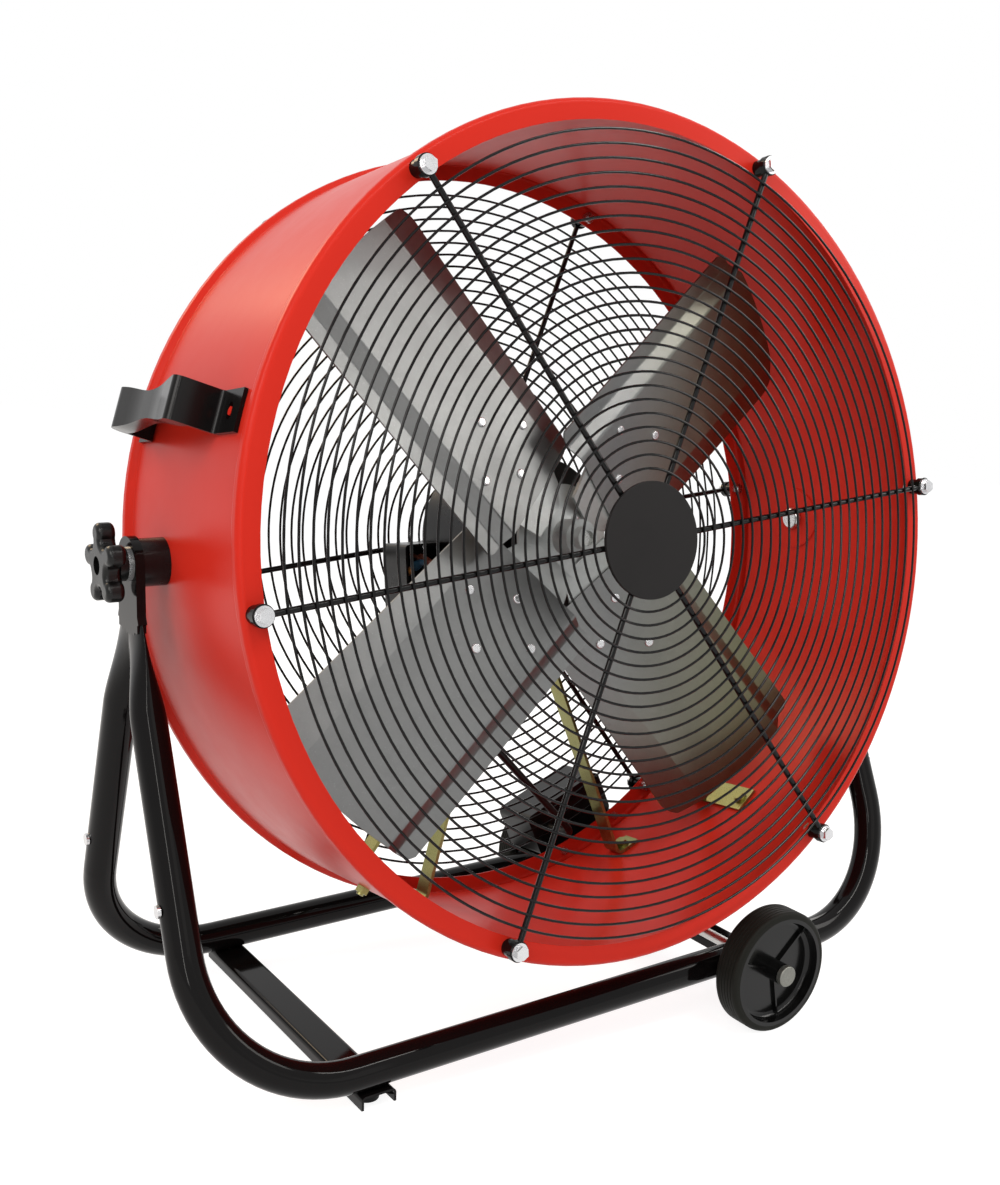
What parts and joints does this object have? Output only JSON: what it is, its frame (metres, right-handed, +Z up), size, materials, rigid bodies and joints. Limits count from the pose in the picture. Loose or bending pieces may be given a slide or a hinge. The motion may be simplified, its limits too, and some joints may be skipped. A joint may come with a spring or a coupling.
{
  "type": "drum fan",
  "caption": "Tilting drum fan on a leaning tube stand with wheels at one end, feet at the other, wire guards, star knobs and a side carry handle.",
  "frame": {"origin": "on the floor, under the middle of the tilt axis", "axes": "+X to the fan's right seen from in front, along the stand towards its wheels; +Y towards the back of the fan; +Z up"},
  "size_m": [0.7846, 0.4039, 0.7819],
  "materials": {
    "drum_red": "gloss powder coat",
    "tube_black": "gloss powder coat",
    "guard_black": "gloss powder coat",
    "disc_black": "satin",
    "box_black": "satin",
    "motor_black": "semi-gloss",
    "galvanised_steel": "galvanised spangle",
    "zinc_plated": "bright zinc",
    "yellow_zinc": "yellow passivated zinc",
    "axle_steel": "bright",
    "lamination_steel": "varnished",
    "coil_copper": "varnished wire",
    "bearing_bronze": "sintered bronze",
    "tyre_rubber": "matte",
    "wheel_plastic": "gloss",
    "foot_rubber": "matte",
    "knob_black": "satin",
    "gland_black": "satin",
    "lead_black": "satin"
  },
  "bodies": {
    "stand": {"front_base_tube": "tube_black", "rear_base_tube": "tube_black", "left_yoke": "tube_black", "right_yoke": "tube_black", "rubber_feet": "foot_rubber", "leg_screws": "zinc_plated", "left_foot_channel": "tube_black", "right_cross_channel": "tube_black", "channel_screws": "zinc_plated", "axle": "axle_steel", "axle_washers": "zinc_plated", "axle_caps": "axle_steel"},
    "front_wheel": {"front_tyre": "tyre_rubber", "front_wheel_hub": "wheel_plastic"},
    "rear_wheel": {"rear_tyre": "tyre_rubber", "rear_wheel_hub": "wheel_plastic"},
    "drum": {"drum_shell": "drum_red", "guard_standoffs": "guard_black", "guard_bolts": "zinc_plated", "guard_nuts": "zinc_plated", "front_guard_rings": "guard_black", "front_guard_spokes": "guard_black", "centre_disc": "disc_black", "rear_guard_rings": "guard_black", "rear_guard_spokes": "guard_black", "carry_handle": "tube_black", "handle_rivets": "drum_red", "pivot_bolts": "zinc_plated", "pivot_spacers": "knob_black", "pivot_pads": "drum_red", "motor_shell": "motor_black", "bell_screws": "zinc_plated", "motor_bearings": "bearing_bronze", "front_end_bell": "motor_black", "rear_end_bell": "motor_black", "stator_core": "lamination_steel", "stator_coils": "coil_copper", "terminal_box": "motor_black", "motor_lead": "lead_black", "front_mount_strap": "yellow_zinc", "rear_mount_strap": "yellow_zinc", "strap_bolts": "yellow_zinc", "motor_base": "yellow_zinc", "motor_studs": "zinc_plated", "box_bracket": "box_black", "bracket_screws": "zinc_plated", "control_box": "box_black", "box_lid": "box_black", "cord_gland": "gland_black", "switch_body": "gland_black"},
    "rotor": {"fan_blades": "galvanised_steel", "fan_spider": "galvanised_steel", "blade_rivets": "zinc_plated", "hub_set_screw": "zinc_plated", "motor_shaft": "axle_steel"},
    "left_washer": {"left_knob_washer": "zinc_plated"},
    "left_knob": {"left_knob": "knob_black"},
    "right_washer": {"right_knob_washer": "zinc_plated"},
    "right_knob": {"right_knob": "knob_black"},
    "dial": {"switch_dial": "gland_black"}
  },
  "joints": [
    {"name": "drum_tilt", "type": "hinge", "parent": "stand", "child": "drum", "pos_m": [0, 0, 0.42453], "axis": [0.9974, 0, 0.0718], "range_deg": [-83.6, 96.4]},
    {"name": "fan_spin", "type": "hinge", "parent": "drum", "child": "rotor", "pos_m": [0, 0, 0.42453], "axis": [0.008, 0.9938, -0.1112], "continuous": true},
    {"name": "front_wheel_spin", "type": "hinge", "parent": "stand", "child": "front_wheel", "pos_m": [0.18694, 0, 0.056], "axis": [0, 1, 0], "continuous": true},
    {"name": "rear_wheel_spin", "type": "hinge", "parent": "stand", "child": "rear_wheel", "pos_m": [0.18694, 0, 0.056], "axis": [0, 1, 0], "continuous": true},
    {"name": "left_knob_travel", "type": "slide", "parent": "drum", "child": "left_washer", "axis": [-0.9974, 0, -0.0718], "range_m": [0, 0.0015]},
    {"name": "left_knob_turn", "type": "hinge", "parent": "left_washer", "child": "left_knob", "pos_m": [-0.36705, 0, 0.39811], "axis": [-0.9974, 0, -0.0718], "range_deg": [0, 360]},
    {"name": "right_knob_travel", "type": "slide", "parent": "drum", "child": "right_washer", "axis": [0.9974, 0, 0.0718], "range_m": [0, 0.0015]},
    {"name": "right_knob_turn", "type": "hinge", "parent": "right_washer", "child": "right_knob", "pos_m": [0.36705, 0, 0.45095], "axis": [0.9974, 0, 0.0718], "range_deg": [0, 360]},
    {"name": "switch_turn", "type": "hinge", "parent": "drum", "child": "dial", "pos_m": [0.12172, 0.1214, 0.11883], "axis": [0.008, 0.9938, -0.1112], "range_deg": [0, 90]}
  ],
  "couplings": [
    {"joint": "left_knob_travel", "follows": "left_knob_turn", "m_per_rad": 0.000238},
    {"joint": "right_knob_travel", "follows": "right_knob_turn", "m_per_rad": 0.000238}
  ]
}
